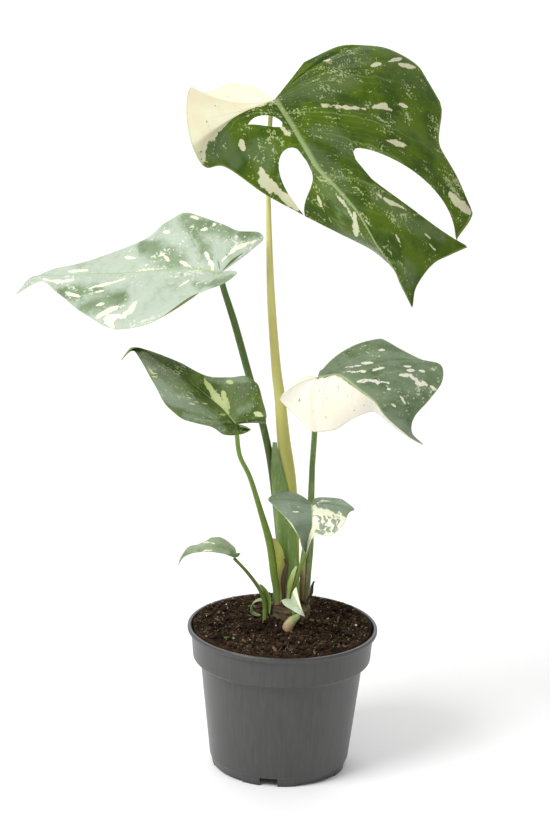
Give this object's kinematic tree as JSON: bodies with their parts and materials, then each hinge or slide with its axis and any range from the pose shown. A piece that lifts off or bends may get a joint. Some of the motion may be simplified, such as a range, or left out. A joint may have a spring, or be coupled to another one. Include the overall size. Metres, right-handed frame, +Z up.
{
  "type": "potted monstera plant",
  "caption": "Young climbing foliage plant with split, cream-splashed leaves on separate stalks, rooted in potting mix in a round plastic nursery pot with a wide band and rolled lip.",
  "frame": {"origin": "centre of the footprint of the whole part's bounding box, on the floor", "axes": "+Z up from the floor, +X to the right and +Y away from someone who looks at the front; the pot's axis stands at x = 0.0462, y = 0.0002"},
  "size_m": [0.3969, 0.2076, 0.6413],
  "materials": {
    "pot": "matt mid-dark grey plastic",
    "potting_mix": "coarse dark peat with perlite",
    "crown": "rough brown stem",
    "stalk": "smooth satin green",
    "sheath": "satin yellow-green, papery edge",
    "leaf": "satin dark green splashed with cream",
    "dry_scrap": "dry dark brown"
  },
  "bodies": {
    "root": {"pot": "pot", "potting_mix": "potting_mix", "crown_stem": "crown", "dried_bract": "dry_scrap", "dead_scrap": "dry_scrap", "side_shoot": "stalk", "top_leaf": "leaf", "left_leaf": "leaf", "lower_left_leaf": "leaf", "right_leaf": "leaf", "centre_leaf": "leaf", "small_left_leaf": "leaf", "baby_leaf": "leaf", "curled_leaflet": "leaf", "top_stalk": "stalk", "left_stalk": "stalk", "lower_left_stalk": "stalk", "right_stalk": "stalk", "centre_stalk": "stalk", "small_left_stalk": "stalk", "baby_stalk": "stalk", "left_sheath": "sheath", "lower_left_sheath": "sheath", "right_sheath": "sheath", "centre_sheath": "sheath", "small_left_sheath": "sheath"}
  },
  "joints": []
}
